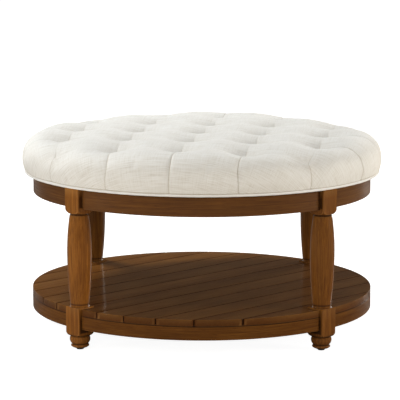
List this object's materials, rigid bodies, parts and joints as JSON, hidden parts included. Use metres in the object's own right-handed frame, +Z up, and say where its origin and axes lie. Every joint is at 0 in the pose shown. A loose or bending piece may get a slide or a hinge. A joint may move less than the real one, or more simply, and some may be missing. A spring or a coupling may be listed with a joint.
{
  "type": "ottoman coffee table",
  "caption": "Round tufted linen ottoman on a curved wooden apron and turned legs, with a round boarded shelf near the floor.",
  "frame": {"origin": "on the floor, under the centre of the cushion", "axes": "+Z up along the cushion's axis, -Y towards the front, +X to the right seen from the front; the legs stand on the diagonals"},
  "size_m": [0.9, 0.9, 0.496],
  "materials": {
    "linen": "plain woven linen in a natural cream, matte, with fine uneven threads",
    "linen_piping": "the same linen wrapped round a cord",
    "foam": "open-cell upholstery foam",
    "plywood": "bare plywood",
    "black_cloth": "thin black dust cloth",
    "twine": "waxed tufting twine",
    "stained_wood": "medium brown walnut stain under satin lacquer",
    "stained_boards": "medium brown walnut stain under satin lacquer, flat-sawn boards",
    "raw_wood": "bare planed hardwood",
    "black_nylon": "black moulded nylon",
    "zinc_steel": "bright zinc plating"
  },
  "bodies": {
    "root": {"apron_rail_back": "stained_wood", "apron_rail_front": "stained_wood", "apron_rail_left": "stained_wood", "apron_rail_right": "stained_wood", "bearer_screws": "zinc_steel", "brace_nuts": "zinc_steel", "brace_screws": "zinc_steel", "brace_washers": "zinc_steel", "corner_brace_back_left": "raw_wood", "corner_brace_back_right": "raw_wood", "corner_brace_front_left": "raw_wood", "corner_brace_front_right": "raw_wood", "cushion_cover": "linen", "dust_cover": "black_cloth", "foam_pad": "foam", "glide_back_left": "black_nylon", "glide_back_right": "black_nylon", "glide_front_left": "black_nylon", "glide_front_right": "black_nylon", "hanger_bolts": "zinc_steel", "leg_back_left": "stained_wood", "leg_back_right": "stained_wood", "leg_front_left": "stained_wood", "leg_front_right": "stained_wood", "rim_screws": "zinc_steel", "seat_board": "plywood", "seat_screws": "zinc_steel", "shelf_bearer_1": "raw_wood", "shelf_bearer_2": "raw_wood", "shelf_plank_01": "stained_boards", "shelf_plank_02": "stained_boards", "shelf_plank_03": "stained_boards", "shelf_plank_04": "stained_boards", "shelf_plank_05": "stained_boards", "shelf_plank_06": "stained_boards", "shelf_plank_07": "stained_boards", "shelf_plank_08": "stained_boards", "shelf_plank_09": "stained_boards", "shelf_plank_10": "stained_boards", "shelf_plank_11": "stained_boards", "shelf_plank_12": "stained_boards", "shelf_rail_back": "stained_wood", "shelf_rail_front": "stained_wood", "shelf_rail_left": "stained_wood", "shelf_rail_right": "stained_wood", "tuft_ties": "twine", "welt_cord": "linen_piping"}
  },
  "joints": []
}
